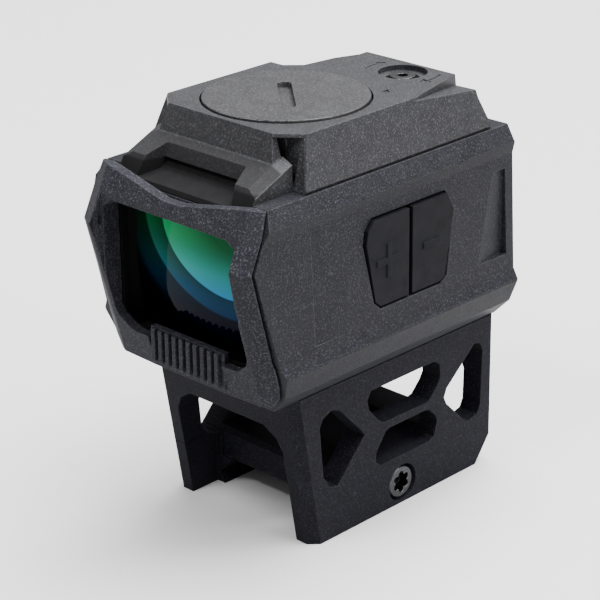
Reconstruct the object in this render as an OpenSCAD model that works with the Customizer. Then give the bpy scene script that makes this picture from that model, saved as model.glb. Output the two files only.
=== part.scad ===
// Enclosed red dot finder on a skeletonised rail riser.
// Millimetres. +Z up, objective looks along -Y, eyepiece along +Y, buttons on +X.

/* [Rail riser] */
// Width over the two side plates
riser_w = 30.2; // [28:0.1:34]
// Height of the riser, foot of the plates to the sight's floor
riser_h = 25.4; // [22:0.1:32]
// Thickness of each side plate
plate_t = 3.7; // [2.8:0.1:4.5]
// How far the plates' front edge leans forward over the riser's height
riser_rake = 4.2; // [0:0.1:5]
// Front edge of the plates at the foot, ahead of the battery axis
riser_front = 10.7; // [9:0.1:13]
// Bevel on the plates' front and rear corners
riser_bevel = 1.5; // [0.5:0.1:2]
// Height of the rail seat above the foot
seat_z = 4.8; // [4:0.1:6]
// Thickness of the cross web above the rail seat
web_t = 5; // [3.5:0.1:6]
// Front edge of the cross web, ahead of the battery axis
web_front = 5; // [2:0.1:8]
// Rear edge of the cross web, behind the battery axis
web_rear = 24; // [20:0.1:27]
// Width of the rail that the channel clamps
rail_w = 21.2; // [20:0.1:22]
// Clearance on each side of the rail with the jaw closed
rail_clear = 0.1; // [0.05:0.05:0.4]

/* [Rail clamp] */
// Clamp bolt's distance behind the battery axis
bolt_y = 9.3; // [7:0.1:12]
// Clamp bolt's height above the foot
bolt_z = 3.45; // [3.3:0.05:4]
// Radius of the clamp bolt's shank
bolt_r = 1.5; // [1.2:0.05:1.8]
// Radius of the clamp bolt's head
bolt_head_r = 2.8; // [2.4:0.05:2.9]
// Height of the moving jaw
jaw_h = 9; // [8.9:0.1:9.2]
// Opening travel of the moving jaw
jaw_travel = 2.1; // [1.4:0.1:2.4]
// Radius of the jaw's two guide pins
guide_r = 1; // [0.8:0.05:1.2]

/* [Sight body] */
// Half width of the body at its lower ridge
body_hw = 19.4; // [18.6:0.1:22]
// Half width of the body at its upper ridge
ridge_hw = 18.1; // [17.9:0.1:18.6]
// Height of the body, floor to the shoulder that carries the top cover
body_h = 31.8; // [31:0.1:36]
// Rear face of the body, behind the battery axis
body_rear = 31.2; // [29:0.1:38]
// Prow of the front, ahead of the battery axis
prow_y = 24.9; // [23:0.1:28]
// Height of the prow fold above the body's floor
prow_z = 23.6; // [20:0.1:26]
// Lean of the upper front face, degrees
lean_up = 25.4; // [15:0.1:32]
// Lean of the lower front face, degrees
lean_dn = 14.6; // [8:0.1:16]
// Half width of the light tunnel behind the objective
tunnel_hw = 13.4; // [11:0.1:13.8]
// Thickness of the tunnel's floor
floor_t = 5.6; // [4.6:0.1:6.5]
// Thickness of the tunnel's roof
roof_t = 2.3; // [2:0.1:3]

/* [Front bezel] */
// Half width of the bezel
bezel_hw = 17.5; // [17:0.1:17.9]
// Thickness of the bezel in front of the body
bezel_t = 1.6; // [1.2:0.1:2.2]
// Half width of the bezel's opening
open_hw = 14.6; // [12:0.1:15]
// Number of ribs on the sill
rib_count = 10; // [6:1:12]
// Distance from rib to rib
rib_pitch = 1.5; // [1.2:0.05:1.5]
// Width of one rib
rib_w = 0.8; // [0.5:0.05:1]

/* [Top cover] */
// Half width of the cover's deck
deck_hw = 14.35; // [14:0.05:16]
// Half width of the cover's base
base_hw = 16.45; // [16:0.05:16.6]
// Height of the cover, shoulder to deck
cover_h = 8.05; // [7.6:0.05:9]
// Front edge of the deck, ahead of the battery axis
deck_front = 13.6; // [13.4:0.1:15]
// Rear edge of the deck, behind the battery axis
deck_rear = 25.2; // [25:0.1:28]

/* [Battery] */
// Radius of the coin cell
cell_r = 10; // [8:0.1:10.2]
// Thickness of the coin cell
cell_h = 3.2; // [2:0.1:3.3]
// Radius of the battery cap's rim
cap_r = 12.5; // [12.4:0.1:13]
// Height of the cap's rim above the deck
cap_proud = 0.35; // [0.3:0.05:1]
// Length of the coin slot
slot_len = 12.8; // [8:0.1:14]
// Width of the coin slot
slot_w = 2.1; // [1.4:0.1:3]

/* [Adjusters] */
// Elevation screw's distance behind the battery axis
elev_y = 20.8; // [19.5:0.1:22]
// Elevation screw's offset to the button side
elev_x = 4.3; // [3:0.1:5]
// Windage screw's distance behind the battery axis
wind_y = 16.6; // [16:0.1:18]
// Radius of the adjuster screws
adj_r = 1.95; // [1.6:0.05:2.2]
// Travel of the emitter each way
emitter_travel = 0.35; // [0.2:0.05:0.4]

/* [Buttons] */
// Line between the two buttons, behind the battery axis
pad_y = 7.1; // [6:0.1:9]
// Width of each button at its widest
pad_w = 9.3; // [8:0.1:9.8]
// Height of the buttons
pad_h = 13.7; // [11:0.1:14]
// Foot of the buttons above the body's floor
pad_z = 11.5; // [11:0.1:13]
// Gap between the two buttons
pad_split = 0.7; // [0.5:0.05:1]
// Travel of a button
press = 0.4; // [0.2:0.05:0.45]

/* [Hidden] */
$fn = 64;
e = 0.01;
far = 80;
bz = riser_h;                          // body's floor
sz = bz + body_h;                      // shoulder that carries the cover
dz = sz + cover_h;                     // deck
rw = riser_w / 2;
ri = rw - plate_t;                     // inner face of a side plate
rail_hw = rail_w / 2 + rail_clear;
fold_z = bz + prow_z;
// the row's origin is under the middle of the whole length
y_mid = (body_rear - prow_y - bezel_t) / 2;
function rake(z) = riser_rake * z / riser_h;
tun_z0 = bz + floor_t;                 // tunnel floor
tun_z1 = sz - roof_t;                  // tunnel roof
cav_z1 = sz - 3.9;                     // roof of the front cavity
lens_y = 19.9;                         // objective's front, ahead of the battery axis
lens_t = 4.2;
lens_hw = tunnel_hw + 0.6;
gasket_t = 0.3;
gasket_top = 0.45;                     // rear gasket above the tunnel's roof
riser_rear = body_rear;
web_top = seat_z + web_t;
screw_xy = [[-8, -5.6], [8, -5.6], [-8, 21.5], [8, 21.5]];
screw_r = 1.5;
top_plate = 3.5;                       // riser's top plate
// battery chamber, from the deck down
rim_gap = 0.3;
rim_z = dz - 1.2;                      // floor of the rim's recess
skirt_r = cap_r - 1.3;
cell_z = rim_z - 1.3 - cell_h;
chamber_r = cell_r + 0.3;
tray_t = 0.6;
chamber_z = cell_z - tray_t;
cover_floor = chamber_z - sz;
cscrew_xy = [for (a = [-1, 1], b = [-1, 1]) [a * cell_r * 0.5, b * cell_r * 0.72]];
// adjusters
elev_recess = 3.8;
wind_z = sz + 3.2;
// buttons
pz0 = bz + pad_z;
pz1 = pz0 + pad_h;
pad_out = ridge_hw + 0.25;             // outer face of the buttons
pad_in = pad_out - 1.3;
pocket_x = tunnel_hw + 1.3;            // floor of the button pocket
board_t = 0.4;
switch_h = 0.5;
// hood between the cover's arms
hood_hw = 13.8;
hood_z = sz - 1;
hood_fall = 10.5;
arm_rear = deck_front - 0.7;           // back of the arms, ahead of the battery axis
arm_z = sz + 4.08;                     // top of the arms at the fascia's foot
arm_y = deck_front + 1.08;
arm_slope = 0.44;
function arm_top(y) = arm_z - arm_slope * (-arm_y - y);
pin_r = 0.6;                           // adjusters' pins
sill_hw = rib_count * rib_pitch / 2 + 0.3;
sill_y = prow_y - 3.6;                 // face of the sill, ahead of the battery axis
pusher_x = pocket_x + board_t + switch_h + press + 0.08;
pad_clear = 0.35;
membrane_x = pad_in - press - 0.1 - 0.3;
// emitter
em_z = tun_z1 + gasket_top + 0.1;       // foot of the stage, clear of the rear gasket
carriage_z = em_z + 1.55;
carriage_h = 1.9;
em_x = elev_x;
stage_y = elev_y + 0.6;
lug_x = em_x - 4.2;                    // face of the stage that the windage pin pushes
wind_x = 9.2;                          // foot of the windage screw

// the whole row stands with its origin under the middle of its length
module place() { translate([0, -y_mid, 0]) children(); }
// extrude an X-Z outline along Y from y0 to y1
module along_y(y0, y1) {
  translate([0, y1, 0]) rotate([90, 0, 0]) linear_extrude(y1 - y0) children();
}
// extrude a Y-Z outline along X from x0 to x1
module along_x(x0, x1) {
  translate([x0, 0, 0]) rotate([90, 0, 90]) linear_extrude(x1 - x0) children();
}
// what lies inside a half space and inside its mirror image
module both_cut() { intersection() { children(); mirror([1, 0, 0]) children(); } }
module both() { children(); mirror([1, 0, 0]) children(); }
function mirrored(p) = concat(p, [for (i = [len(p) - 1:-1:0]) [-p[i][0], p[i][1]]]);

// ---------- riser ----------
// outline of one side window, given by its corners, cut through both plates
module window(p) {
  along_x(-rw - 1, rw + 1) polygon(p);
}
module riser_profile() {
  polygon([[-riser_front, 0], [riser_rear - 4.2, 0], [riser_rear - 0.6, 4.7], [riser_rear, bz],
    [-riser_front - rake(bz), bz]]);
}
// rail channel below the seat: 45 degree flanks over a full-width waist
module channel(hw, below) {
  polygon(mirrored([[hw - 2.75, seat_z], [hw, seat_z - 2.75], [hw, seat_z - 3.4],
    [hw - 1.1, -below]]));
}
module corner_bevels(c) {
  for (s = [-1, 1]) {
    translate([s * rw, -riser_front + c, 0]) rotate([atan(riser_rake / riser_h), 0, 0])
      rotate([0, 0, -s * 45]) translate([s > 0 ? 0 : -far, -far / 2, -far / 2])
        cube([far, far, far]);
    translate([s * rw, riser_rear - c * 0.6, 0]) rotate([0, 0, s * 45])
      translate([s > 0 ? 0 : -far, -far / 2, -far / 2]) cube([far, far, far]);
  }
}
module plate_windows() {
  f = -riser_front;
  // front triangle
  window([[f + 2.2, 11], [f + 3.6, 8.9], [f + 5.2, 8.5], [-0.6, 13.6], [0.6, 14.9], [-0.4, 16.1],
    [-5.0, 20.9], [-6.6, 21.5], [f + 2.2, 20.7], [f + 1.5, 19.4]]);
  // rear triangle
  window([[19, 14.7], [19.6, 13.4], [24.1, 8.9], [25.2, 8.5], [27.2, 9], [27.9, 10.4],
    [28.2, 19.8], [27.6, 21.2], [26.2, 21.6], [19.6, 16.1]]);
  // upper slot
  window([[2, 21.7], [16.6, 21.7], [17.8, 20.8], [18, 18.6], [17.2, 17.3], [15.4, 15.5],
    [14.6, 15.3], [5, 15.4], [4.1, 15.8], [1.6, 18.6], [1.2, 20.3]]);
  // lower slot
  window([[4.2, 8.3], [15.6, 8.3], [16.6, 8.8], [17.4, 11.2], [17, 12.3], [15.4, 13.8], [14.6, 14],
    [6.2, 14], [5.4, 13.7], [3.2, 10.8], [3.1, 9.2]]);
}
module riser_base() {
  color([0.16, 0.16, 0.17])
  difference() {
    along_x(-rw, rw) riser_profile();
    // space between the plates, above the web
    along_y(-riser_front + 3, riser_rear - 3.4)
      polygon(mirrored([[ri, web_top], [ri, bz - top_plate - 2], [ri - 2, bz - top_plate]]));
    // front and rear arches
    along_y(-far, far) polygon(mirrored([[ri, web_top], [ri, 15.6], [ri - 1.1, 17.9],
      [ri - 3.4, 19.4]]));
    // open ahead of and behind the web
    along_y(-far, -web_front) polygon(mirrored([[ri, -1], [ri, web_top + 1]]));
    along_y(web_rear, far) polygon(mirrored([[ri, -1], [ri, web_top + 1]]));
    // rail channel
    along_y(-far, far) channel(rail_hw, 0.2);
    // room for the moving jaw below the left plate
    translate([-rw - 1, -far / 2, -1]) cube([rw + 1 - (rail_hw - 3.2), far, seat_z + 1]);
    translate([-rw - 1, -far / 2, -1]) cube([rw + 1 - (rail_hw - 0.45), far, jaw_h + 1.1]);
    plate_windows();
    corner_bevels(riser_bevel);
    // clamp bolt: shank clearance and head counterbore
    translate([-rw, bolt_y, bolt_z]) rotate([0, 90, 0]) cylinder(h = riser_w, r = bolt_r + 0.06);
    translate([rw - 2.9, bolt_y, bolt_z]) rotate([0, 90, 0]) cylinder(h = 4, r = bolt_head_r + 0.3);
    // guide pins
    for (y = [-1.6, 20.2]) translate([-rail_hw, y, seat_z + web_t / 2]) rotate([0, 90, 0])
      cylinder(h = 12, r = guide_r);
    // recoil lug's pocket
    translate([-4.5, 13.9, seat_z - e]) cube([9, 3.6, 1.6 + e]);
    // body screws
    for (p = screw_xy) translate([p[0], p[1], 0]) {
      translate([0, 0, bz - top_plate - 1]) cylinder(h = top_plate + 2, r = screw_r + 0.1);
      translate([0, 0, bz - top_plate - 1]) cylinder(h = 2.9, r = 2.7);
    }
  }
}
module clamp_jaw() {
  color([0.15, 0.15, 0.16])
  difference() {
    intersection() {
      along_x(-rw, -rail_hw + 3.15) riser_profile();
      translate([-far / 2, -far / 2, 0]) cube([far, far, jaw_h]);
    }
    corner_bevels(riser_bevel);
    plate_windows();
    // open above the seat, clear of the web
    translate([-rail_hw + 0.35, -far / 2, seat_z - 0.05]) cube([far, far, far]);
    along_y(-far, -web_front - 0.3) polygon([[-ri, -1], [ri, -1], [ri, far], [-ri, far]]);
    along_y(web_rear + 0.3, far) polygon([[-ri, -1], [ri, -1], [ri, far], [-ri, far]]);
    along_y(-far, far) channel(rail_hw, 0.2);
    translate([-far / 2, bolt_y, bolt_z]) rotate([0, 90, 0]) cylinder(h = far, r = bolt_r + 0.06);
    translate([-rw - 1, bolt_y - 2.75, bolt_z - 2.75]) cube([1 + 2.6, 5.5, 5.5]);
    for (y = [-1.6, 20.2]) translate([-far / 2, y, seat_z + web_t / 2]) rotate([0, 90, 0])
      cylinder(h = far, r = guide_r + 0.05);
  }
}
module clamp_nut() {
  color([0.45, 0.45, 0.46])
  difference() {
    translate([-rw + 0.2, bolt_y - 2.7, bolt_z - 2.7]) cube([2.4, 5.4, 5.4]);
    translate([-rw, bolt_y, bolt_z]) rotate([0, 90, 0]) cylinder(h = 4, r = bolt_r + 0.05);
  }
}
module six_lobe(r, h) {
  linear_extrude(h) {
    circle(r = r * 0.72);
    for (a = [0:60:300]) rotate(a) translate([r * 0.68, 0]) circle(r = r * 0.3);
  }
}
module clamp_bolt() {
  color([0.3, 0.3, 0.31])
  translate([0, bolt_y, bolt_z]) rotate([0, 90, 0])
  difference() {
    union() {
      translate([0, 0, -rw + 0.6]) cylinder(h = riser_w - 3.2, r = bolt_r);
      translate([0, 0, rw - 2.85]) cylinder(h = 2.2, r = bolt_head_r);
      translate([0, 0, rw - 0.65]) cylinder(h = 0.35, r1 = bolt_head_r, r2 = bolt_head_r - 0.35,
        $fn = 64);
    }
    translate([0, 0, rw - 2.1]) six_lobe(1.85, 3);
  }
}
module guide_pins() {
  color([0.5, 0.5, 0.51])
  for (y = [-1.6, 20.2]) translate([-rw + 0.3, y, seat_z + web_t / 2]) rotate([0, 90, 0])
    cylinder(h = rw - 0.3 - rail_hw + 12, r = guide_r);
}
module recoil_lug() {
  color([0.35, 0.35, 0.36])
  union() {
    translate([-4.5, 13.9, seat_z]) cube([9, 3.6, 1.6]);
    translate([-6.8, 13.9, seat_z - 2.4]) cube([13.6, 3.6, 2.4]);
  }
}
module mounting_screws() {
  color([0.22, 0.22, 0.23])
  for (p = screw_xy) translate([p[0], p[1], 0]) difference() {
    union() {
      translate([0, 0, bz - top_plate]) cylinder(h = 1.9, r = 2.5);
      translate([0, 0, bz - top_plate + 1.9]) cylinder(h = 5.6, r = screw_r);
    }
    translate([0, 0, bz - top_plate - e]) cylinder(h = 1.2, r = 1.3, $fn = 6);
  }
}

// ---------- sight body ----------
// everything behind a pair of leaning planes that meet at the fold, grown forward by g
module prow(g) {
  translate([0, -prow_y - g, fold_z]) intersection() {
    rotate([-lean_up, 0, 0]) translate([-far, 0, -far]) cube([2 * far, 2 * far, 2 * far]);
    rotate([lean_dn, 0, 0]) translate([-far, 0, -far]) cube([2 * far, 2 * far, 2 * far]);
  }
}
// the same for the bezel, with its side strips bevelled back in plan
module prow_bevelled(g, x1, x2, drop) {
  p = [[-x2, drop], [-x1, 0], [x1, 0], [x2, drop], [x2 + 5, drop + 2.6], [x2 + 5, far], [-x2 - 5, far],
    [-x2 - 5, drop + 2.6]];
  translate([0, -prow_y - g, fold_z]) intersection() {
    rotate([-lean_up, 0, 0]) translate([0, 0, -far]) linear_extrude(2 * far) polygon(p);
    rotate([lean_dn, 0, 0]) translate([0, 0, -far]) linear_extrude(2 * far) polygon(p);
  }
}
// section of the body: bevelled floor, lower ridge, side, upper ridge, shoulder
module body_section() {
  polygon(mirrored([[rw - 0.2, bz], [body_hw - 1.5, bz + 3], [body_hw, bz + 6.7],
    [body_hw, bz + 7.1], [body_hw - 0.9, bz + 8.7], [ridge_hw - 0.45, sz - 4.4],
    [ridge_hw, sz - 2.6], [base_hw + 0.1, sz]]));
}
// hexagonal outline of one button pad, grown by g
module pad_outline(side, g) {
  w = pad_w;
  s = pad_split / 2;
  if (side < 0)
    polygon([[-s + g, pz0 - g], [-s + g, pz1 + g], [-s - w * 0.83, pz1 + g],
      [-s - w * 0.96 - g, pz1 - pad_h * 0.1], [-s - w - g, pz1 - pad_h * 0.24],
      [-s - w * 0.79 - g, pz0 + pad_h * 0.07], [-s - w * 0.67, pz0 - g]]);
  else
    polygon([[s - g, pz0 - g], [s - g, pz1 + g], [s + w * 0.84, pz1 + g],
      [s + w + g, pz1 - pad_h * 0.21], [s + w * 0.8 + g, pz0 + pad_h * 0.04],
      [s + w * 0.69, pz0 - g]]);
}
module pad_well(g) { translate([pad_y, 0]) { pad_outline(-1, g); pad_outline(1, g);
  translate([-pad_split, pz0 - g]) square([2 * pad_split, pad_h + 2 * g]); } }
// opening seen from the front: flat at the fold, dipped in the middle of its top
module front_outline(g) {
  polygon(mirrored([[1.6, sz - 3.5 + g], [9.5, sz - 2.1 + g], [open_hw - 1.7 + g / 2, sz - 2.3 + g],
    [open_hw - 0.4 + g, sz - 3.6 + g / 2], [open_hw + g, fold_z], [open_hw - 0.45 + g, fold_z - 5.4],
    [open_hw - 0.1 + g, bz + 10.4], [open_hw - 1.1 + g, bz + 8.1 - g / 2],
    [open_hw - 3 + g / 2, bz + 6.6 - g], [open_hw - 5.5, bz + 5.8 - g]]));
}
// front cavity of the body, ahead of the objective
module cavity(g) {
  polygon(mirrored([[open_hw - 2 + g, cav_z1 + g], [open_hw + g, cav_z1 - 2], [open_hw + g, tun_z0 + 2.4],
    [open_hw - 2.4, tun_z0 - g]]));
}
module main_housing() {
  color([0.17, 0.17, 0.18])
  difference() {
    intersection() {
      along_y(-far, body_rear) body_section();
      prow(-0.35);
    }
    // front opening, lens seat, tunnel, rear window seat
    along_y(-far, -lens_y) cavity(0);
    along_y(-lens_y - e, -lens_y + lens_t + gasket_t)
      translate([-lens_hw - gasket_t, tun_z0 - 0.3 - gasket_t])
        square([2 * (lens_hw + gasket_t), tun_z1 - tun_z0 + 2 * gasket_t]);
    translate([-tunnel_hw, -lens_y, tun_z0]) cube([2 * tunnel_hw, body_rear + lens_y + 1,
      tun_z1 - tun_z0]);
    translate([-tunnel_hw - 0.8, body_rear - 3.2, tun_z0 - 0.6])
      cube([2 * tunnel_hw + 1.6, 4, tun_z1 - tun_z0 + 1.1]);
    // hood line: the top cover's apron lies on a sloped bed here
    along_x(-hood_hw - 0.05, hood_hw + 0.05) polygon([[-deck_front - 2, far], [-deck_front - 2, hood_z],
      [-deck_front - 2.6, hood_z], [-far, hood_z - tan(hood_fall) * (far - deck_front - 2.6)],
      [-far, far]]);
    // button pocket
    along_x(pocket_x, far) pad_well(pad_clear);
    // main board's pocket in the roof, and the emitter's window
    translate([-9.1, -5.3, sz - 1.6]) cube([18.2, 10.6, 3]);
    translate([em_x - 5.2, stage_y - 5.2, tun_z1 - 1]) cube([10.4, 8.6, 5]);
    // cable way from the roof to the button pocket
    translate([9, -1.5, sz - 1.6]) cube([pocket_x + 1.2 - 9, 3, 0.8]);
    translate([pocket_x, -1.5, pz1 - 1]) cube([1.2, 3, sz - 0.8 - pz1 + 1]);
    // screws
    for (p = screw_xy) translate([p[0], p[1], bz - 1]) cylinder(h = 5.2, r = screw_r);
    for (p = cscrew_xy) translate([p[0], p[1], sz - 2]) cylinder(h = 3, r = 0.8);
    // thumb ramp at the rear of each side
    both() translate([ridge_hw + 0.3, 22.4, pz0 - 0.1]) rotate([0, 0, 9.5])
      translate([0, 0, 0]) cube([6, 7, pad_h + 0.2]);
    // notches across the upper ridges
    both() for (y = [-5.4, 16.2]) translate([ridge_hw - 0.12, y, sz - 4.8]) rotate([-24, 0, 0])
      cube([3, 1.6, 6]);
    // shallow flute at the front of each side panel, running out to the rear
    both() translate([body_hw - 1.12, -13.4, bz + 9.6]) rotate([0, -2.7, 0]) rotate([0, 0, -1.6])
      cube([3, 7.2, body_h - 14.6]);
  }
}
module front_bezel() {
  color([0.15, 0.15, 0.16])
  difference() {
    union() {
      difference() {
        intersection() {
          prow_bevelled(bezel_t, open_hw, bezel_hw + 0.6, bezel_t + 0.1);
          along_y(-far, far) polygon(mirrored([[1.6, sz - 2.2], [12.9, sz - 0.2], [14.9, sz + 0.05],
            [bezel_hw - 0.85, sz], [bezel_hw - 0.15, sz - 3.4], [bezel_hw, fold_z],
            [bezel_hw, bz + 9], [bezel_hw + 0.7, bz + 6.9], [bezel_hw - 0.2, bz + 3.2],
            [bezel_hw - 1.6, bz + 1.5], [8, bz + 1.2]]));
        }
        prow(0);
        // notch for the sill
        translate([-sill_hw, -far, bz + 2.4]) cube([2 * sill_hw, far - sill_y, 20]);
      }
      // plug that enters the body's opening
      intersection() {
        along_y(-far, -lens_y - 1.4) cavity(-0.05);
        prow(0);
      }
      // ribbed sill
      translate([-sill_hw, -sill_y, bz + 2.1]) cube([2 * sill_hw, 1, 5.7]);
    }
    // clear opening above the sill
    difference() {
      along_y(-far, far) intersection() { front_outline(0); cavity(-0.6); }
      translate([-sill_hw, -far, bz]) cube([2 * sill_hw, 2 * far, 7.8]);
    }
    along_y(-far, -prow_y + 0.6) front_outline(0);
  }
}
module bezel_gasket() {
  color([0.06, 0.06, 0.06])
  difference() {
    intersection() {
      prow(0);
      along_y(-far, far) polygon(mirrored([[open_hw - 2, cav_z1 + 0.9], [bezel_hw - 0.9, cav_z1 - 1],
        [bezel_hw - 0.5, bz + 8], [bezel_hw - 2.4, bz + 2.2]]));
    }
    prow(-0.35);
    along_y(-far, far) cavity(0);
  }
}
// ribs on the sill
module sill_ribs() {
  color([0.2, 0.2, 0.21])
  for (i = [0:rib_count - 1])
    translate([(i - rib_count / 2 + 0.5) * rib_pitch - rib_w / 2, -sill_y - 0.75, bz + 2.6])
      cube([rib_w, 0.75, 5.2]);
}
// ---------- optics ----------
module objective_lens() {
  color([0.15, 0.5, 0.55, 0.5])
  difference() {
    intersection() {
      translate([-lens_hw, -lens_y, tun_z0 - 0.3])
        cube([2 * lens_hw, lens_t, tun_z1 - tun_z0]);
      translate([0, -lens_y + 0.3 + 62, fold_z - 5]) sphere(r = 62, $fn = 128);
    }
    translate([0, -lens_y + 2.4 + 72, fold_z - 5]) sphere(r = 72, $fn = 128);
  }
}
module objective_gasket() {
  color([0.05, 0.05, 0.05])
  translate([0, 0, tun_z0 - 0.3]) difference() {
    translate([-lens_hw - gasket_t, -lens_y + 0.3, -gasket_t])
      cube([2 * (lens_hw + gasket_t), lens_t - 0.3, tun_z1 - tun_z0 + 2 * gasket_t]);
    translate([-lens_hw, -far / 2, 0]) cube([2 * lens_hw, far, tun_z1 - tun_z0]);
  }
}
module lens_retainer() {
  color([0.1, 0.1, 0.1])
  difference() {
    intersection() {
      along_y(-lens_y - 1.2, -lens_y - 0.02) cavity(-0.05);
      prow(-0.05);
    }
    along_y(-far, far) cavity(-0.9);
    // notch behind the sill
    translate([-sill_hw - 0.05, -sill_y - 1, bz]) cube([2 * sill_hw + 0.1, 2.05, 7.9]);
  }
}
module rear_window() {
  color([0.6, 0.75, 0.75, 0.4])
  translate([-tunnel_hw, body_rear - 3.1, tun_z0]) cube([2 * tunnel_hw, 1.5, tun_z1 - tun_z0]);
}
module rear_gasket() {
  color([0.05, 0.05, 0.05])
  difference() {
    translate([-tunnel_hw - 0.75, body_rear - 3.15, tun_z0 - 0.55])
      cube([2 * tunnel_hw + 1.5, 1.55, tun_z1 - tun_z0 + 0.55 + gasket_top]);
    translate([-tunnel_hw - 0.02, -far, tun_z0 - 0.02])
      cube([2 * tunnel_hw + 0.04, 2 * far, tun_z1 - tun_z0 + 0.04]);
  }
}
module rear_frame() {
  color([0.15, 0.15, 0.16])
  difference() {
    translate([-tunnel_hw - 0.75, body_rear - 1.6, tun_z0 - 0.55])
      cube([2 * tunnel_hw + 1.5, 1.6, tun_z1 - tun_z0 + 1]);
    along_y(-far, far) polygon(mirrored([[tunnel_hw - 3.2, tun_z1 - 1.2],
      [tunnel_hw - 1.2, tun_z1 - 3.2], [tunnel_hw - 1.2, tun_z0 + 3.2],
      [tunnel_hw - 3.2, tun_z0 + 1.2]]));
  }
}

// ---------- top cover ----------
module cover_profile() {
  polygon([[-deck_front - 1.3, sz], [-deck_front - 3.4, sz + 1.28],
    [-deck_front - 2.75, arm_top(-deck_front - 2.75)], [-arm_y, arm_z],
    [-deck_front, dz], [deck_rear, dz], [deck_rear + 0.6, dz - 3],
    [deck_rear + 2.6, sz]]);
}
// open corner behind the front face, bounded by the side wall's leaning front edge
module corner_void() {
  intersection() {
    along_x(9.4, far) polygon([[-far, dz - 0.5], [-deck_front + 2.75, dz - 0.5], [-deck_front + 0.65, sz],
      [-deck_front + 0.65, sz - 0.01], [-far, sz - 0.01]]);
    along_y(-far, far) polygon([[10.7, dz + 3], [10.7, dz - 0.5], [11.7, arm_z], [11.8, sz - 1],
      [far, sz - 1], [far, dz + 3]]);
  }
  // dark pocket behind the edge of the front face
  translate([9.3, -deck_front + 0.7, sz + 0.8]) cube([4.5, 1.5, cover_h - 1.3]);
}
// arm from the tower's corner down to the bezel's corner
module arm() {
  intersection() {
    along_x(7, hood_hw - 0.05) polygon([[-arm_rear, sz], [-arm_rear, arm_z + 0.7], [-arm_y, arm_z],
      [-prow_y - 1, arm_top(-prow_y - 1)], [-prow_y - 1, sz - 3], [-deck_front - 2.6, hood_z + 0.1],
      [-deck_front - 2.05, hood_z + 0.1], [-deck_front - 2.05, sz]]);
    translate([0, 0, sz - 4]) linear_extrude(cover_h + 4) polygon([[8.1, -arm_rear],
      [8.1, -deck_front - 2.75], [10.6, -prow_y + 1.35], [11, -far / 2], [14, -far / 2], [14, -arm_rear]]);
    // outer half of the arm's top falls away sideways
    translate([11.9, -deck_front - 3.31, arm_top(-deck_front - 3.31)])
      rotate([23.3, 0, 0]) rotate([0, 23.1, 0])
      translate([-far, -far, -2 * far]) cube([2 * far, 2 * far, 2 * far]);
    translate([0, -deck_front - 2.6, hood_z + 0.05]) rotate([hood_fall, 0, 0])
      translate([-far, -far, 0]) cube([2 * far, 2 * far, 2 * far]);
    prow(-0.4);
  }
}
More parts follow.
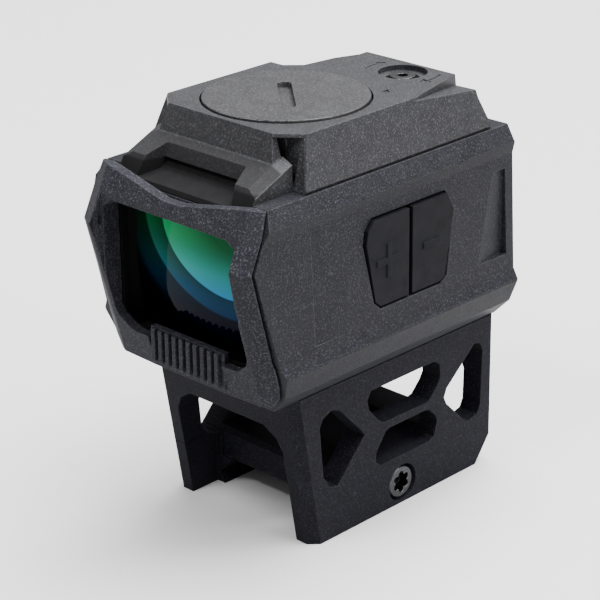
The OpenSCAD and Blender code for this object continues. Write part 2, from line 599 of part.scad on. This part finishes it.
// curved arrow round an adjuster, from its tail at angle a1 to its head at a0
module turn_mark(a0, a1) {
  r = elev_recess + 2;
  steps = 10;
  polygon(concat([for (i = [0:steps]) let (a = a0 + (a1 - a0) * i / steps) (r + 0.25) * [cos(a), sin(a)]],
    [for (i = [steps:-1:0]) let (a = a0 + (a1 - a0) * i / steps) (r - 0.25) * [cos(a), sin(a)]]));
  polygon([(r - 1) * [cos(a0 + 2), sin(a0 + 2)], (r + 1) * [cos(a0 + 2), sin(a0 + 2)],
    r * [cos(a0 - 14), sin(a0 - 14)]]);
}
module top_cover() {
  color([0.2, 0.2, 0.21])
  difference() {
    union() {
      // tower: trapezoid section, leaning ends, plan corners cut
      difference() {
        intersection() {
          along_y(-far, far) polygon(mirrored([[base_hw, sz], [deck_hw, dz]]));
          along_x(-far, far) cover_profile();
          // leaning corner cuts at the front
          both_cut() translate([deck_hw - 3.7, -deck_front, dz]) rotate([0, -21.4, -49.5])
            translate([-2 * far, -far, -far]) cube([2 * far, 2 * far, 2 * far]);
        }
        both() corner_void();
        // shadow gap along the foot of each side
        both() translate([base_hw - 0.45, -deck_front, sz - e]) cube([1, far, 0.45]);
      }
      // apron: sloped floor between the arms
      intersection() {
        along_x(-hood_hw + 0.05, hood_hw - 0.05) polygon([[-deck_front + 2, sz], [-deck_front - 2.05, sz],
          [-deck_front - 2.05, hood_z + 0.1], [-deck_front - 2.6, hood_z + 0.05],
          [-prow_y - 1, hood_z + 0.05 - tan(hood_fall) * (prow_y + 1 - deck_front - 2.6)],
          [-prow_y - 1, hood_z + 0.65 - tan(hood_fall) * (prow_y + 1 - deck_front - 2.6)],
          [-deck_front - 4, hood_z + 0.55], [-deck_front - 2.4, sz + 0.8], [-deck_front, sz + 2]]);
        prow(-0.4);
      }
      both() arm();
    }
    // battery: rim recess, thread, chamber, floor opening
    translate([0, 0, rim_z]) cylinder(h = 4, r = cap_r + rim_gap, $fn = 128);
    translate([0, 0, rim_z - 1.1]) cylinder(h = 3, r = skirt_r + 0.1, $fn = 128);
    translate([0, 0, chamber_z]) cylinder(h = 5, r = chamber_r, $fn = 128);
    translate([-2.2, -2.2, sz - 1]) cube([4.4, 4.4, 5]);
    for (p = cscrew_xy) translate([p[0], p[1], sz - 1]) {
      cylinder(h = 4, r = 0.9);
      translate([0, 0, 1 + cover_floor - 0.75]) cylinder(h = 1, r = 1.5);
    }
    // index arrow on the deck
    translate([0, 0, dz - 0.3]) linear_extrude(1) rotate(53)
      polygon([[cap_r + 1.5, 0], [cap_r + 2.8, -0.75], [cap_r + 2.8, 0.75]]);
    // arrows for the elevation screw's two ways
    for (a = [-10, 170]) translate([elev_x, elev_y, dz - 0.2]) linear_extrude(1) turn_mark(a, a + 38);
    // elevation recess and bore
    translate([elev_x, elev_y, dz - 0.9]) cylinder(h = 2, r = elev_recess);
    translate([elev_x, elev_y, sz - 1]) cylinder(h = 10, r = adj_r + 0.65);
    // windage recess and bore
    translate([-far, wind_y, wind_z]) rotate([0, 90, 0]) cylinder(h = far - 11.6, r = 4.6);
    translate([-far, wind_y, wind_z]) rotate([0, 90, 0]) cylinder(h = far - 6, r = adj_r + 0.65);
    // emitter's room
    translate([em_x - 5.2, stage_y - 5.2, sz - 1]) cube([10.4, 8.6, 5]);
    translate([-7, wind_y - 2.2, sz - 1]) cube([lug_x + 9.1, 4.4, wind_z + 2 - sz + 1]);
    // lowered rear shoulders of the deck
    both() translate([deck_hw, 12.3, dz - 0.5]) rotate([-5.6, 0, 14.5]) cube([12, 40, 8]);
    // the windage side steps down behind the battery
    translate([0, 0, dz - 3.4]) linear_extrude(9) polygon([[-far, 11], [-11.8, 11.2], [-9.4, 13.4],
      [-8.5, 19.5], [-7, 23.4], [-9.4, far], [-far, far]]);
  }
}
module cover_screws() {
  color([0.4, 0.4, 0.4])
  for (p = cscrew_xy) translate([p[0], p[1], 0]) difference() {
    union() {
      translate([0, 0, chamber_z - 0.72]) cylinder(h = 0.65, r = 1.4);
      translate([0, 0, sz - 1.8]) cylinder(h = cover_floor + 1.8 - 0.7, r = 0.8);
    }
    translate([0, 0, chamber_z - 0.45]) cylinder(h = 1, r = 0.6, $fn = 6);
  }
}

// ---------- battery ----------
module battery_cap() {
  color([0.2, 0.2, 0.21])
  difference() {
    union() {
      translate([0, 0, rim_z + 0.6]) cylinder(h = dz + cap_proud - rim_z - 0.7, r = cap_r, $fn = 128);
      translate([0, 0, dz + cap_proud - 0.1]) cylinder(h = 0.1, r1 = cap_r, r2 = cap_r - 0.12,
        $fn = 128);
      translate([0, 0, rim_z - 1.0]) cylinder(h = 1.7, r = skirt_r, $fn = 128);
    }
    // coin slot with round ends
    translate([0, 0, dz + cap_proud - 0.9]) linear_extrude(3) rotate(-42) union() {
      square([slot_len - slot_w, slot_w], center = true);
      for (s = [-1, 1]) translate([s * (slot_len - slot_w) / 2, 0]) circle(d = slot_w);
    }
    // room for the contact
    translate([0, 0, rim_z - 2]) cylinder(h = 1.3, r = skirt_r - 1.4, $fn = 96);
  }
}
module battery_cap_o_ring() {
  color([0.04, 0.04, 0.04])
  rotate_extrude($fn = 96) translate([skirt_r + 0.62, rim_z + 0.3]) circle(r = 0.24, $fn = 24);
}
module positive_contact() {
  color([0.75, 0.7, 0.5])
  difference() {
    translate([0, 0, rim_z - 1.05]) cylinder(h = 0.35, r = skirt_r - 1.6, $fn = 96);
    translate([0, 0, rim_z - 2]) cylinder(h = 3, r = 4, $fn = 64);
  }
}
module coin_cell() {
  color([0.75, 0.75, 0.76])
  union() {
    translate([0, 0, cell_z + 0.35]) cylinder(h = cell_h - 0.35, r = cell_r, $fn = 96);
    translate([0, 0, cell_z]) cylinder(h = 0.36, r = cell_r - 1.1, $fn = 96);
  }
}
module battery_tray() {
  color([0.1, 0.1, 0.1])
  difference() {
    translate([0, 0, chamber_z]) cylinder(h = tray_t, r = chamber_r - 0.1, $fn = 96);
    translate([-2.2, -2.2, chamber_z - 1]) cube([4.4, 4.4, 3]);
  }
}
module negative_contact() {
  color([0.8, 0.7, 0.4])
  translate([-1.8, -1.8, sz + 0.02]) cube([3.6, 3.6, chamber_z + tray_t - sz - 0.04]);
}

// ---------- adjusters and emitter ----------
module adjuster(h, pin_l) {
  difference() {
    union() {
      cylinder(h = h, r = adj_r);
      translate([0, 0, -pin_l]) cylinder(h = pin_l + e, r = pin_r);
    }
    translate([0, 0, h - 1.3]) cylinder(h = 2, r = 0.95, $fn = 6);
  }
}
// threaded bush with a floor that the pin passes through
module bush(h) {
  difference() {
    translate([0, 0, -0.6]) cylinder(h = h + 0.6, r = adj_r + 0.6);
    translate([0, 0, -0.1]) cylinder(h = 4, r = adj_r + 0.06);
    translate([0, 0, -2]) cylinder(h = 4, r = pin_r + 0.06);
  }
}
module elevation_screw() {
  color([0.18, 0.18, 0.19])
  translate([elev_x, elev_y, dz - 3.1])
    adjuster(2.6, dz - 3.1 - carriage_z - carriage_h - emitter_travel - 0.15);
}
module elevation_bush() {
  color([0.1, 0.1, 0.1])
  translate([elev_x, elev_y, dz - 3.1]) bush(2.1);
}
module windage_screw() {
  color([0.18, 0.18, 0.19])
  translate([-wind_x, wind_y, wind_z]) rotate([0, -90, 0])
    adjuster(2.9, wind_x + lug_x - emitter_travel - 0.2);
}
module windage_bush() {
  color([0.1, 0.1, 0.1])
  translate([-wind_x, wind_y, wind_z]) rotate([0, -90, 0]) bush(2.3);
}
module windage_stage() {
  color([0.5, 0.5, 0.48])
  difference() {
    union() {
      translate([lug_x, stage_y - 4.4, em_z]) cube([8.4, 7, 4.2]);
      // lug in line with the windage screw
      translate([lug_x, wind_y - 0.9, em_z + 3])
        cube([1.1, stage_y - 3.4 - wind_y, wind_z + 0.9 - em_z - 3]);
    }
    translate([em_x - 3, stage_y - 5, em_z + 0.8]) cube([6, 6, 6]);
    translate([em_x - 2, stage_y - 5, em_z - 1]) cube([4, 3.6, 3]);
  }
}
module emitter_carriage() {
  color([0.35, 0.33, 0.3])
  difference() {
    translate([em_x - 2.7, stage_y - 4, carriage_z]) cube([5.4, 4.6, carriage_h]);
    translate([em_x, stage_y - 3, em_z + 2.4]) rotate([90, 0, 0]) cylinder(h = 3, r = 0.7);
  }
}
module emitter_diode() {
  color([0.6, 0.1, 0.1])
  translate([em_x, stage_y - 3, em_z + 2.4]) rotate([90, 0, 0]) cylinder(h = 1.2, r = 0.69);
}
module elevation_spring() {
  color([0.7, 0.7, 0.7])
  translate([em_x + 1, stage_y - 0.2, em_z + 0.8]) difference() {
    cylinder(h = 0.74, r = 0.7, $fn = 32);
    translate([0, 0, -1]) cylinder(h = 3, r = 0.45, $fn = 32);
  }
}

// ---------- electronics ----------
module main_board() {
  color([0.05, 0.25, 0.15])
  translate([-8.9, -5.1, sz - 1.6]) cube([17.8, 10.2, 0.8]);
}
module control_chip() {
  color([0.08, 0.08, 0.08])
  translate([-6.4, -2, sz - 0.8]) cube([4, 4, 0.7]);
}
module button_board() {
  color([0.05, 0.25, 0.15])
  along_x(pocket_x + 0.02, pocket_x + board_t) translate([pad_y, 0])
    translate([-pad_w * 0.75, pz0 + 0.4]) square([pad_w * 1.5, pad_h - 1.5]);
}
module tactile_switches() {
  color([0.7, 0.7, 0.7])
  for (s = [-1, 1]) translate([pocket_x + board_t, pad_y + s * pad_w * 0.45, (pz0 + pz1) / 2])
    rotate([0, 90, 0]) cylinder(h = switch_h, r = 1.6, $fn = 32);
}
module button_membrane() {
  color([0.08, 0.08, 0.08])
  difference() {
    along_x(membrane_x, membrane_x + 0.3) pad_well(pad_clear - 0.03);
    for (s = [-1, 1]) translate([membrane_x - 1, pad_y + s * pad_w * 0.45, (pz0 + pz1) / 2])
      rotate([0, 90, 0]) cylinder(h = 3, r = 1.6, $fn = 32);
  }
}
module button(side) {
  union() {
    along_x(pad_in, pad_out) translate([pad_y, 0]) pad_outline(side, 0);
    translate([pusher_x, pad_y + side * pad_w * 0.45, (pz0 + pz1) / 2]) rotate([0, 90, 0])
      cylinder(h = pad_in - pusher_x + 0.1, r = 1.3, $fn = 32);
  }
}
module plus_button() {
  color([0.1, 0.1, 0.1])
  union() {
    button(-1);
    translate([pad_out - 0.05, pad_y - pad_w * 0.52, (pz0 + pz1) / 2]) {
      translate([0, -2.7, -0.5]) cube([0.25, 5.4, 1]);
      translate([0, -0.5, -2.7]) cube([0.25, 1, 5.4]);
    }
  }
}
module minus_button() {
  color([0.1, 0.1, 0.1])
  union() {
    button(1);
    translate([pad_out - 0.05, pad_y + pad_w * 0.5 - 2, (pz0 + pz1) / 2 - 0.5])
      cube([0.25, 4, 1]);
  }
}
module flex_cable() {
  color([0.7, 0.4, 0.1])
  union() {
    translate([8.95, -1.2, sz - 1.4]) cube([pocket_x + 0.7 - 8.95, 2.4, 0.2]);
    translate([pocket_x + 0.5, -1.2, pz1 - 0.9]) cube([0.2, 2.4, sz - 1.2 - pz1 + 0.9]);
  }
}

place() riser_base();
place() clamp_jaw();
place() clamp_nut();
place() clamp_bolt();
place() guide_pins();
place() recoil_lug();
place() mounting_screws();
place() main_housing();
place() front_bezel();
place() sill_ribs();
place() bezel_gasket();
place() top_cover();
place() cover_screws();
place() objective_lens();
place() objective_gasket();
place() lens_retainer();
place() rear_window();
place() rear_gasket();
place() rear_frame();
place() battery_cap();
place() battery_cap_o_ring();
place() positive_contact();
place() coin_cell();
place() battery_tray();
place() negative_contact();
place() elevation_screw();
place() elevation_bush();
place() windage_screw();
place() windage_bush();
place() windage_stage();
place() emitter_carriage();
place() emitter_diode();
place() elevation_spring();
place() main_board();
place() control_chip();
place() button_board();
place() tactile_switches();
place() button_membrane();
place() plus_button();
place() minus_button();
place() flex_cable();
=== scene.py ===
import math

import bpy
import numpy as np
from mathutils import Matrix, Vector


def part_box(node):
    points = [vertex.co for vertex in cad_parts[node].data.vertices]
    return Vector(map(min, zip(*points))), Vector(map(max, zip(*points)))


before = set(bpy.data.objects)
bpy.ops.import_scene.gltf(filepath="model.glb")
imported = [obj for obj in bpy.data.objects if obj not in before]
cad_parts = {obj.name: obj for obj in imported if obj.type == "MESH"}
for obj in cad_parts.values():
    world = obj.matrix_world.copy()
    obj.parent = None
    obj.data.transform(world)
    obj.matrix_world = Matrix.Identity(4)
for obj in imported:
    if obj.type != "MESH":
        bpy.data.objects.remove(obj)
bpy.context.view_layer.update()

MM = 0.001


# ---------- finishes ----------
class Finish:
    """A Principled material with short ways to add its texture nodes. All patterns read Object coordinates."""

    def __init__(self, name, colour, rough, metal=0.0, **sockets):
        self.material = bpy.data.materials.new(name)
        self.material.use_nodes = True
        self.tree = self.material.node_tree
        self.shader = self.tree.nodes["Principled BSDF"]
        self.shader.inputs["Base Color"].default_value = (*colour, 1)
        self.shader.inputs["Roughness"].default_value = rough
        self.shader.inputs["Metallic"].default_value = metal
        for key, value in sockets.items():
            self.shader.inputs[key.replace("_", " ")].default_value = value
        self.place = self.node("ShaderNodeTexCoord").outputs["Object"]

    def node(self, kind, **values):
        n = self.tree.nodes.new(kind)
        for key, value in values.items():
            if hasattr(n, key):
                setattr(n, key, value)
            else:
                n.inputs[key.replace("_", " ")].default_value = value
        return n

    def link(self, a, b):
        self.tree.links.new(a, b)

    def noise(self, scale, detail=3.0, rough=0.6, stretch=None):
        """Fractal noise of about 1 / scale metres a grain, stretched along an axis for brushed marks."""
        n = self.node("ShaderNodeTexNoise", Scale=scale, Detail=detail, Roughness=rough)
        place = self.place
        if stretch:
            m = self.node("ShaderNodeMapping")
            m.inputs["Scale"].default_value = stretch
            self.link(place, m.inputs["Vector"])
            place = m.outputs["Vector"]
        self.link(place, n.inputs["Vector"])
        return n.outputs["Fac"]

    def band(self, value, low, high, out_low=0.0, out_high=1.0):
        """value mapped from low..high to out_low..out_high and held there beyond."""
        n = self.node("ShaderNodeMapRange")
        for key, number in (("From Min", low), ("From Max", high), ("To Min", out_low), ("To Max", out_high)):
            n.inputs[key].default_value = number
        self.link(value, n.inputs["Value"])
        return n.outputs["Result"]

    def calc(self, kind, a, b):
        """One sum on two values, each a number or another node's output."""
        n = self.node("ShaderNodeMath", operation=kind)
        for socket, value in zip(n.inputs, (a, b)):
            if isinstance(value, (int, float)):
                socket.default_value = value
            else:
                self.link(value, socket)
        return n.outputs[0]

    def blend(self, share, a, b):
        n = self.node("ShaderNodeMix", data_type="RGBA")
        for socket, value in zip((n.inputs[0], n.inputs[6], n.inputs[7]), (share, a, b)):
            if isinstance(value, tuple):
                socket.default_value = (*value, 1)
            elif isinstance(value, float):
                socket.default_value = value
            else:
                self.link(value, socket)
        return n.outputs[2]

    def edge(self, radius):
        """0 on a flat face, rising to 1 where faces meet within the radius, and the rounded normal."""
        r = self.node("ShaderNodeBevel", samples=4, Radius=radius)
        g = self.node("ShaderNodeNewGeometry")
        d = self.node("ShaderNodeVectorMath", operation="DOT_PRODUCT")
        self.link(r.outputs["Normal"], d.inputs[0])
        self.link(g.outputs["Normal"], d.inputs[1])
        return self.band(d.outputs["Value"], 0.995, 0.86), r.outputs["Normal"]

    def bump(self, height, strength, depth, normal=None):
        n = self.node("ShaderNodeBump", Strength=strength, Distance=depth)
        self.link(height, n.inputs["Height"])
        if normal is not None:
            self.link(normal, n.inputs["Normal"])
        return n.outputs["Normal"]

    def set(self, socket, value):
        self.link(value, self.shader.inputs[socket])


def blasted(name, colour, light, rough=0.5, gloss=0.25, grain=3600.0, depth=0.03, wear_and_highlight=0.4, corner=0.2,
            hood=False):
    """Bead-blasted, hard anodised aluminium: fine pits, a faint mottle, and edges painted lighter, partly
    rubbed wear and partly a painted highlight.
    With hood, the ground between the cover's arms is painted near black and matt, a painted shade for the
    shade inside the hood."""
    f = Finish(name, colour, rough, 0.0, Specular_IOR_Level=gloss)
    pits, mottle = f.noise(grain, 2.0, 0.7), f.noise(420.0, 4.0)
    edge, rounded = f.edge(corner * MM)
    rub_and_highlight = f.calc("MULTIPLY", edge, f.band(f.noise(900.0, 5.0, 0.7), 0.32, 0.62, 0.25, 1.0))
    tone = f.blend(f.band(mottle, 0.3, 0.7), tuple(c * 0.8 for c in colour), tuple(c * 1.2 for c in colour))
    tone = f.blend(f.band(pits, 0.52, 0.7, 0.0, 0.8), tone, tuple(c * 4.5 for c in colour))
    # edges painted lighter: partly rubbed wear, partly a painted highlight where faces meet
    tone = f.blend(f.calc("MULTIPLY", rub_and_highlight, wear_and_highlight), tone, light)
    spread = f.band(f.calc("ADD", mottle, pits), 0.6, 1.4, rough - 0.08, rough + 0.12)
    if hood:
        paint = hood_painted_shade(f)
        # painted shade: the hood between the cover's arms is made near black and rougher, standing in for the
        # shade there
        tone = f.blend(paint, tone, (0.0015, 0.0015, 0.002))
        spread = f.calc("ADD", spread, f.calc("MULTIPLY", paint, 0.4))
    f.set("Base Color", tone)
    f.set("Roughness", spread)
    f.set("Normal", f.bump(pits, 0.8, depth * MM, rounded))
    return f.material


def hood_painted_shade(f):
    """Mask of the painted shade in the hood: 1 between the cover's arms, ahead of the tower's face, and 0
    elsewhere.
    """
    parts = f.node("ShaderNodeSeparateXYZ")
    f.link(f.place, parts.inputs[0])
    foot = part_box("top_cover")[0][2]
    tower_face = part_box("battery_cap")[0][1] - 2.4 * MM
    arm_side = 13.7 * MM
    ahead = f.band(parts.outputs["Y"], tower_face, tower_face - 0.2 * MM)
    inside = f.band(f.calc("ABSOLUTE", parts.outputs["X"], 0.0), arm_side, arm_side - 0.1 * MM)
    below = f.band(parts.outputs["Z"], foot + 3.3 * MM, foot + 2.9 * MM, 0.55, 1.0)
    return f.calc("MULTIPLY", below, f.calc("MULTIPLY", ahead, inside))


def turned(name, colour, rough, stretch, corner=0.12):
    """Machined steel: fine tool marks along one direction, and a little oil tint."""
    f = Finish(name, colour, rough, 1.0)
    marks, stain = f.noise(900.0, 4.0, 0.6, stretch), f.noise(300.0, 3.0)
    edge, rounded = f.edge(corner * MM)
    darker, lighter = (tuple(min(1.0, c * share) for c in colour) for share in (0.8, 1.15))
    tone = f.blend(f.band(stain, 0.3, 0.7), darker, lighter)
    # edges painted lighter: a painted highlight along the corners, with some rubbed wear
    rubbed_and_highlit = tuple(min(1.0, c * 2 + 0.1) for c in colour)
    f.set("Base Color", f.blend(f.calc("MULTIPLY", edge, 0.5), tone, rubbed_and_highlit))
    f.set("Roughness", f.band(marks, 0.3, 0.7, rough - 0.08, rough + 0.1))
    f.set("Normal", f.bump(marks, 0.3, 0.01 * MM, rounded))
    return f.material


def moulded(name, colour, rough, grain=3500.0, depth=0.02, corner=0.15, **sockets):
    """Moulded rubber or plastic: a fine eroded texture and slightly shinier rubbed spots."""
    f = Finish(name, colour, rough, 0.0, **sockets)
    skin, patch = f.noise(grain, 2.0, 0.5), f.noise(350.0, 3.0)
    edge, rounded = f.edge(corner * MM)
    tone = f.blend(f.band(patch, 0.3, 0.7), tuple(c * 0.85 for c in colour), tuple(c * 1.15 for c in colour))
    # edges painted lighter: a painted highlight where faces meet
    f.set("Base Color", f.blend(f.calc("MULTIPLY", edge, 0.25), tone, tuple(c * 2.2 for c in colour)))
    f.set("Roughness", f.band(patch, 0.3, 0.7, rough + 0.05, rough - 0.06))
    f.set("Normal", f.bump(skin, 0.5, depth * MM, rounded))
    return f.material


def lens_with_painted_reflections():
    """A dichroic coat: green at the top, teal below and deep blue at the foot. Its nested bright outlines are
    painted reflections of the lamp, each |x|^p + |1.2 z|^p = r^p about a point near the upper right corner,
    and the colour also glows as emission, painted light."""
    f = Finish("coated lens glass with painted reflections", (0.001, 0.004, 0.003), 0.06, 0.0, IOR=1.52, Specular_IOR_Level=0.02)
    low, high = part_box("objective_lens")
    parts = f.node("ShaderNodeSeparateXYZ")
    f.link(f.place, parts.inputs[0])
    height = f.band(parts.outputs["Z"], low[2], high[2])
    side = f.band(parts.outputs["X"], low[0], high[0])
    ramp = f.node("ShaderNodeValToRGB")
    stops = ((0.0, (0.0, 0.001, 0.006)), (0.24, (0.001, 0.006, 0.06)), (0.42, (0.014, 0.1, 0.2)),
             (0.56, (0.014, 0.17, 0.16)), (0.74, (0.012, 0.2, 0.07)), (1.0, (0.004, 0.14, 0.03)))
    ramp.color_ramp.elements[0].color = (*stops[0][1], 1)
    ramp.color_ramp.elements[1].position, ramp.color_ramp.elements[1].color = stops[-1][0], (*stops[-1][1], 1)
    for at, tint in stops[1:-1]:
        ramp.color_ramp.elements.new(at).color = (*tint, 1)
    f.link(height, ramp.inputs[0])
    power, centre_side, centre_height = 1.8, 0.76, 0.85
    x = f.calc("ABSOLUTE", f.calc("SUBTRACT", side, centre_side), 0.0)
    z = f.calc("ABSOLUTE", f.calc("MULTIPLY", f.calc("SUBTRACT", height, centre_height), 1.2), 0.0)
    far = f.calc("POWER", f.calc("ADD", f.calc("POWER", x, power), f.calc("POWER", z, power)), 1 / power)
    inner = f.calc("MULTIPLY", f.band(far, 0.522, 0.512), f.band(far, 0.15, 0.52, 0.24, 0.9))
    middle = f.calc("MULTIPLY", f.band(far, 0.685, 0.665), f.band(far, 0.52, 0.68, 0.12, 0.3))
    outer = f.band(far, 0.92, 0.84, 0.005, 0.05)
    # painted reflections: nested bright outlines of the lamp, over a dim ground that is darkest far from the
    # upper right
    painted_reflections = f.calc("MAXIMUM", inner, f.calc("MAXIMUM", middle, outer))
    tint = f.node("ShaderNodeVectorMath", operation="SCALE")
    f.link(ramp.outputs["Color"], tint.inputs[0])
    f.link(painted_reflections, tint.inputs["Scale"])
    # the coat colour with its painted reflections also feeds emission, so the lens glows: painted light
    f.set("Base Color", tint.outputs[0])
    f.set("Emission Color", tint.outputs[0])
    f.shader.inputs["Emission Strength"].default_value = 0.34
    f.set("Roughness", f.band(f.noise(2500.0, 4.0), 0.45, 0.75, 0.04, 0.1))
    return f.material


def clear_pane():
    """Clear window glass with a faint green coat and a trace of dust in its roughness."""
    f = Finish("clear window glass", (0.72, 0.9, 0.86), 0.02, 0.0, IOR=1.5, Transmission_Weight=0.92,
               Coat_Weight=0.4)
    f.set("Roughness", f.band(f.noise(2500.0, 4.0), 0.45, 0.75, 0.01, 0.09))
    return f.material


def printed_board():
    """Green solder mask over copper tracks laid on a square grid."""
    f = Finish("solder mask", (0.01, 0.09, 0.045), 0.35, 0.0, Coat_Weight=0.3)
    brick = f.node("ShaderNodeTexBrick", Scale=700.0, Mortar_Size=0.03)
    f.link(f.place, brick.inputs["Vector"])
    f.set("Base Color", f.blend(brick.outputs["Fac"], (0.01, 0.09, 0.045), (0.02, 0.17, 0.08)))
    f.set("Normal", f.bump(brick.outputs["Fac"], 0.3, 0.02 * MM))
    f.set("Roughness", f.band(f.noise(1800.0), 0.3, 0.7, 0.28, 0.42))
    return f.material


BODY = blasted("anodised body", (0.0085, 0.0085, 0.0105), (0.08, 0.08, 0.09), gloss=0.08)
COVER = blasted("anodised top cover", (0.0125, 0.0125, 0.014), (0.1, 0.1, 0.11), gloss=0.19, hood=True)
# painted shade: the riser and clamp jaw are made darker than the body, standing in for the shade under the
# housing's overhang
SHADED_RISER = blasted("anodised riser", (0.005, 0.005, 0.007), (0.04, 0.04, 0.048), rough=0.55, gloss=0.05)
BEZEL = blasted("anodised bezel", (0.0135, 0.0135, 0.0165), (0.09, 0.09, 0.1), rough=0.52, gloss=0.04)
CAP = blasted("anodised battery cap", (0.0125, 0.0125, 0.0135), (0.09, 0.09, 0.095), rough=0.46, gloss=0.3,
              wear_and_highlight=0.2, corner=0.1)
INNER = blasted("black baffle", (0.002, 0.002, 0.002), (0.006, 0.006, 0.006), rough=0.75, gloss=0.03)
SCREW = turned("black oxide steel", (0.055, 0.055, 0.06), 0.32, (1, 1, 6))
STEEL = turned("ground steel", (0.42, 0.42, 0.43), 0.3, (1, 8, 1))
CELL = turned("coin cell steel", (0.6, 0.6, 0.61), 0.24, (6, 1, 1))
BRASS = turned("gold plated contact", (0.75, 0.55, 0.22), 0.25, (1, 6, 1))
RUBBER = moulded("button rubber", (0.004, 0.004, 0.0055), 0.6, Specular_IOR_Level=0.07)
SEAL = moulded("seal rubber", (0.004, 0.004, 0.0045), 0.6, corner=0.05, Specular_IOR_Level=0.1)
PLASTIC = moulded("black plastic", (0.02, 0.02, 0.022), 0.4)
CHIP = moulded("chip resin", (0.015, 0.015, 0.016), 0.35)
FILM = moulded("polyimide film", (0.5, 0.2, 0.03), 0.25, Coat_Weight=0.5)
DIODE = moulded("red emitter", (0.4, 0.01, 0.01), 0.12, Coat_Weight=1.0, IOR=1.5)
LENS = lens_with_painted_reflections()
PANE = clear_pane()
BOARD = printed_board()

FINISH = {
    "riser_base": SHADED_RISER, "clamp_jaw": SHADED_RISER, "clamp_nut": STEEL, "clamp_bolt": SCREW, "guide_pins": STEEL,
    "recoil_lug": SCREW, "mounting_screws": SCREW, "main_housing": BODY, "front_bezel": BEZEL,
    "sill_ribs": BEZEL, "bezel_gasket": SEAL, "top_cover": COVER, "cover_screws": STEEL,
    "objective_lens": LENS, "objective_gasket": SEAL, "lens_retainer": INNER, "rear_window": PANE,
    "rear_gasket": SEAL, "rear_frame": BEZEL, "battery_cap": CAP, "battery_cap_o_ring": SEAL,
    "positive_contact": BRASS, "coin_cell": CELL, "battery_tray": PLASTIC, "negative_contact": BRASS,
    "elevation_screw": SCREW, "elevation_bush": INNER, "windage_screw": SCREW, "windage_bush": INNER,
    "windage_stage": STEEL, "emitter_carriage": PLASTIC, "emitter_diode": DIODE, "elevation_spring": STEEL,
    "main_board": BOARD, "control_chip": CHIP, "button_board": BOARD, "tactile_switches": STEEL,
    "button_membrane": RUBBER, "plus_button": RUBBER, "minus_button": RUBBER, "flex_cable": FILM,
}
for node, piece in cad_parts.items():
    piece.data.materials.clear()
    piece.data.materials.append(FINISH[node])

# machined edges: the loose triangles are joined, flat faces merged, and every sharp corner broken
BROKEN = {"riser_base": 0.22, "clamp_jaw": 0.2, "front_bezel": 0.2, "battery_cap": 0.1, "plus_button": 0.12,
          "minus_button": 0.12, "rear_frame": 0.15, "sill_ribs": 0.12, "recoil_lug": 0.2}


def break_corners(piece, width):
    weld = piece.modifiers.new("join", "WELD")
    weld.merge_threshold = 0.002 * MM
    flat = piece.modifiers.new("flat faces", "DECIMATE")
    flat.decimate_type = "DISSOLVE"
    flat.angle_limit = math.radians(0.6)
    corner = piece.modifiers.new("broken corners", "BEVEL")
    corner.width = width * MM
    corner.segments = 2
    corner.limit_method = "ANGLE"
    corner.angle_limit = math.radians(24)
    corner.harden_normals = True
    corner.use_clamp_overlap = True
    corner.miter_outer = "MITER_ARC"


for node, width in BROKEN.items():
    break_corners(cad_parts[node], width)


# ---------- floor, light and camera ----------
def area_light(name, place, aim, size, power):
    lamp = bpy.data.lights.new(name, "AREA")
    lamp.shape, lamp.size, lamp.size_y = "RECTANGLE", size[0], size[1]
    lamp.energy = power
    o = bpy.data.objects.new(name, lamp)
    bpy.context.collection.objects.link(o)
    o.location = place
    o.rotation_mode = "QUATERNION"
    o.rotation_quaternion = Vector(np.array(aim) - np.array(place)).to_track_quat("-Z", "Y")


def floor():
    half, grey = 3.0, 0.5
    corners = [(-half, -half, 0), (half, -half, 0), (half, half, 0), (-half, half, 0)]
    mesh = bpy.data.meshes.new("floor")
    mesh.from_pydata(corners, [], [(0, 1, 2, 3)])
    o = bpy.data.objects.new("floor", mesh)
    bpy.context.collection.objects.link(o)
    paint = bpy.data.materials.new("pale floor")
    paint.use_nodes = True
    shader = paint.node_tree.nodes["Principled BSDF"]
    shader.inputs["Base Color"].default_value = (grey, grey, grey, 1)
    shader.inputs["Roughness"].default_value = 0.9
    mesh.materials.append(paint)


floor()
world = bpy.data.worlds.new("studio")
bpy.context.scene.world = world
world.use_nodes = True
world.node_tree.nodes["Background"].inputs["Color"].default_value = (1, 1, 1, 1)
world.node_tree.nodes["Background"].inputs["Strength"].default_value = 0.55
CENTRE = (0, 0, 0.035)
area_light("overhead", (0.1, 0.35, 1.1), CENTRE, (1.2, 1.0), 75.0)
area_light("right side", (0.8, 0.1, 0.45), CENTRE, (0.4, 0.5), 6.0)
area_light("front high", (-0.05, -0.6, 0.95), CENTRE, (0.4, 0.3), 12.0)

CAMERA_PLACE = (0.21265, -0.21671, 0.15966)
SENSOR_WIDTH, FOCAL_LENGTH = 36.0, 128.82
AZIMUTH, ELEVATION, ROLL = math.radians(44.46), math.radians(22.78), math.radians(-0.71)
back = np.array([math.sin(AZIMUTH) * math.cos(ELEVATION), -math.cos(AZIMUTH) * math.cos(ELEVATION),
                 math.sin(ELEVATION)])
right = np.array([math.cos(AZIMUTH), math.sin(AZIMUTH), 0.0])
up = np.cross(back, right)
right, up = (right * math.cos(ROLL) + up * math.sin(ROLL), up * math.cos(ROLL) - right * math.sin(ROLL))
lens = bpy.data.cameras.new("camera")
lens.sensor_width, lens.lens = SENSOR_WIDTH, FOCAL_LENGTH
lens.clip_start, lens.clip_end = 0.01, 10.0
camera = bpy.data.objects.new("camera", lens)
bpy.context.collection.objects.link(camera)
camera.matrix_world = Matrix([[right[k], up[k], back[k], CAMERA_PLACE[k]] for k in range(3)] + [[0, 0, 0, 1]])
bpy.context.scene.camera = camera
